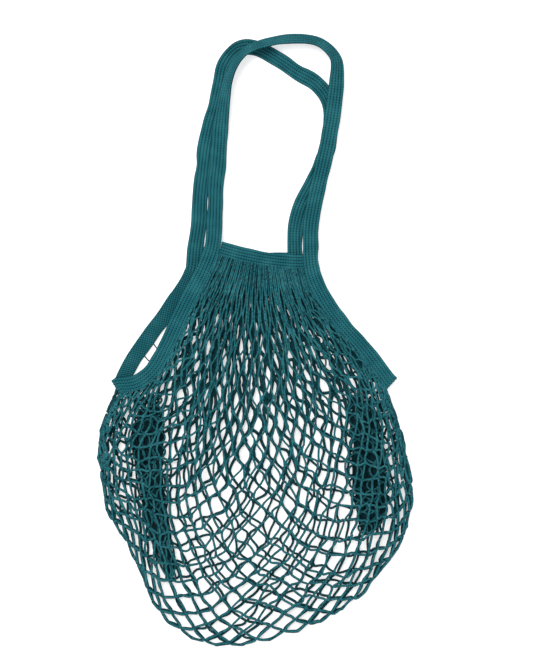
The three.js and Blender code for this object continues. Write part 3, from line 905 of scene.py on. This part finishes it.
# Stations of the tapes
front = strap(FRONT_LEFT_SIDE, FRONT_HANDLE, FRONT_RIGHT_SIDE, FRONT_LEVEL, 1)
back = strap(BACK_LEFT_SIDE, BACK_HANDLE, BACK_RIGHT_SIDE, 0.0, -1)
front_band = band(front, FRONT_BAND_SEATS, FRONT_LEVEL)
back_band = band(back, BACK_BAND_SEATS, 0.0)
left_binding = joined(
    reversed_way(part_of(front, 0, front["foot"][0])),
    corner(station(front, 0), station(back, 0), -1),
    part_of(back, 0, back["foot"][0]),
)
right_binding = joined(
    part_of(front, front["foot"][1], len(front["centre"]) - 1),
    corner(station(front, -1), station(back, -1), 1),
    reversed_way(part_of(back, back["foot"][1], len(back["centre"]) - 1)),
)

# The solids stand with their whole box centred, so the shapes here are moved by the same amount
half_band = front_band["across"] * BAND_WIDTH / 2
edges = np.concatenate([front_band["centre"] + half_band, front_band["centre"] - half_band])
low, high = (np.array(corner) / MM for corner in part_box("front_band"))
SHIFT = (low + high) / 2 - (edges.min(0) + edges.max(0)) / 2


def show(piece, node):
    """Hangs a finished piece on the root body and hides the solid that it stands for."""
    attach(piece, "root")
    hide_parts(node)


for name, way, width, material, both_sides, ripple in (
    ("front_handle", part_of(front, *front["foot"]), TAPE_WIDTH, tape_cotton, True, 1),
    ("back_handle", part_of(back, *back["foot"]), TAPE_WIDTH, tape_cotton, True, -1),
    ("left_side_binding", left_binding, TAPE_WIDTH, tape_cotton, False, 1),
    ("right_side_binding", right_binding, TAPE_WIDTH, tape_cotton, False, 1),
    ("front_band", sewn(front_band, front), BAND_WIDTH, band_cotton, False, 1),
    ("back_band", sewn(back_band, back), BAND_WIDTH, band_cotton, False, 1),
):
    show(tape(name + "_tape", way, width, TAPE_RIBS, material, both_sides, ripple), name)

edge_reach = TAPE_WIDTH / 2 - TUCK
front_place = layer(front, front_band, FRONT_SEAM, POUCH_BULGE, front, edge_reach)
back_place = layer(back, back_band, BACK_SEAM, 0.0, front, 0.0)
front_strings = netting("front_strings", front_place, net_cotton, 5, (0.0, 0.0), 1.2, -0.12)
back_strings = netting("back_strings", back_place, shaded_back_cotton, 11, (2.5, -2.0), 0.0, 0.5, back)
show(front_strings, "front_net")
show(back_strings, "back_net")


def fold_place(rows):
    """A function that gives places on a fold from shares along it, across it and up."""
    floor_level = NET_THICKNESS + FOLD_GAP + FOLD_LIFT

    def place(share, side, level):
        """Places on the fold. side: -1 to 1, level: 0 to 1."""
        values = read_smooth(rows, share)
        arch = np.clip(1 - side ** 2, 0, 1)
        return np.stack([
            (values[:, 0] + values[:, 2] * side) * NET_WIDTH,
            -values[:, 1] * NET_DEPTH,
            floor_level + level * arch * values[:, 3] * (FOLD_HEIGHT - FOLD_TOP_ROOM),
        ], 1)

    return place


def pleated_shade_core(shape, place, random):
    """Closed lens of painted shade under a fold's strings, so that the floor doesn't show between them."""
    share = np.linspace(0, 1, CORE_STEPS)
    pleats = np.linspace(-1, 1, PLEAT_POINTS)
    # The core is narrower near its two ends
    taper = rising(np.minimum(share, 1 - share) * 9 + 0.4)
    waves = read_smooth(random.uniform(*CORE_REACH, (CORE_WAVES, 1)), share)[:, 0] * taper
    levels = PLEAT_LEVEL + PLEAT_RELIEF * np.cos(pleats * math.pi * PLEATS * 2)
    top = [place(share, waves * side, level) for side, level in zip(pleats, levels)]
    base = [place(share, waves * side, 0.0) - UP * CORE_DEPTH for side in pleats[::-1]]
    rings = np.stack(top + base, 1)
    marks = np.arange(2 * len(pleats) + 1) * 1.0
    places = np.stack(np.broadcast_arrays(marks[None], share[:, None] * CORE_LENGTH), -1)
    shape.add_rings(rings, places, 1)


def fold_string(shape, place, random):
    """One wandering string that runs down a fold."""
    count = 44
    share = np.linspace(random.uniform(0.0, 0.2), random.uniform(0.8, 1.0), count)
    side = random.uniform(-0.95, 0.95) + wander(count, 6, 0.2)[:, 0]
    path = place(share, np.clip(side, -1, 1), random.uniform(0.6, 0.9))
    path[:, :2] += wander(count, 3, 0.8)[:, :2]
    tube(shape, path, FOLD_STRING_RADIUS, FOLD_STRING_SIDES)


def mesh_chain(shape, place, middle, random):
    """A chain of meshes down a fold: two strings that part and meet again, cell after cell."""
    count = FOLD_CELLS * STEPS_PER_CELL
    share = np.linspace(0, 1, count)
    swing = np.sin(math.pi * (share * FOLD_CELLS + random.uniform(0, 1)))
    opening = CELL_REACH * np.sign(swing) * np.abs(swing) ** CELL_ROUNDNESS
    drifting = middle + wander(count, 16, 0.12)[:, 0]
    for way in (-1, 1):
        path = place(share, np.clip(drifting + way * opening, -1.1, 1.1), 1.0)
        path[:, :2] += wander(count, 5, 0.7)[:, :2]
        path[:, 2] += CHAIN_LIFT
        tube(shape, path, CHAIN_RADIUS, FOLD_STRING_SIDES)


def side_fold(name, rows, gathered, seed):
    """Netting folded double inside a side: a core and strings that run down it in painted shade, and chains
    of its meshes.
    """
    random = np.random.default_rng(seed)
    shape = Shape()
    pleated_shade_core(shape, fold_place(rows), random)
    place = fold_place([gathered, *rows])
    for _ in range(FOLD_STRINGS):
        fold_string(shape, place, random)
    # The chains wear the plain net cotton; the core and the strings before them wear painted shade
    shape.slot = 1
    for middle in np.linspace(-CHAIN_SPREAD, CHAIN_SPREAD, FOLD_CHAINS):
        mesh_chain(shape, place, middle, random)
    return shape.build(name, deep_shade_cotton, net_cotton)


show(side_fold("left_fold_strings", LEFT_FOLD, LEFT_GATHER, 3), "left_side_fold")
show(side_fold("right_fold_strings", RIGHT_FOLD, RIGHT_GATHER, 4), "right_side_fold")

# Floor, lights and surroundings
FLOOR_SIZE = 8
FLOOR_TONE = (0.8, 0.8, 0.8, 1)
FLOOR_GLOW = 0.5
WORLD_LIGHT = 0.5
WHITE = (1, 1, 1, 1)

bpy.context.scene.view_settings.view_transform = "Standard"
bpy.ops.mesh.primitive_plane_add(size=FLOOR_SIZE)
floor = bpy.context.object
floor.name = "floor"
floor_material = bpy.data.materials.new("floor")
floor_material.use_nodes = True
floor_shader = floor_material.node_tree.nodes["Principled BSDF"]
floor_shader.inputs["Base Color"].default_value = FLOOR_TONE
floor_shader.inputs["Roughness"].default_value = 0.9
floor_shader.inputs["Emission Color"].default_value = WHITE
floor_shader.inputs["Emission Strength"].default_value = FLOOR_GLOW
floor.data.materials.append(floor_material)

world = bpy.context.scene.world or bpy.data.worlds.new("world")
bpy.context.scene.world = world
world.use_nodes = True
background = world.node_tree.nodes["Background"]
background.inputs["Color"].default_value = WHITE
background.inputs["Strength"].default_value = WORLD_LIGHT


def area_light(name, place, size, power):
    """Square lamp, in metres and watts, that shines at the middle of the bag."""
    data = bpy.data.lights.new(name, "AREA")
    data.size = size
    data.energy = power
    light = bpy.data.objects.new(name, data)
    light.location = place
    over, up, height = place
    light.rotation_euler = (
        math.atan2(math.hypot(over, up), height), 0, math.atan2(-over, up) + math.pi,
    )
    bpy.context.scene.collection.objects.link(light)


area_light("key", (-0.8, 0.9, 2.0), 1.7, 48)
area_light("fill", (1.4, -0.8, 1.6), 1.5, 12)
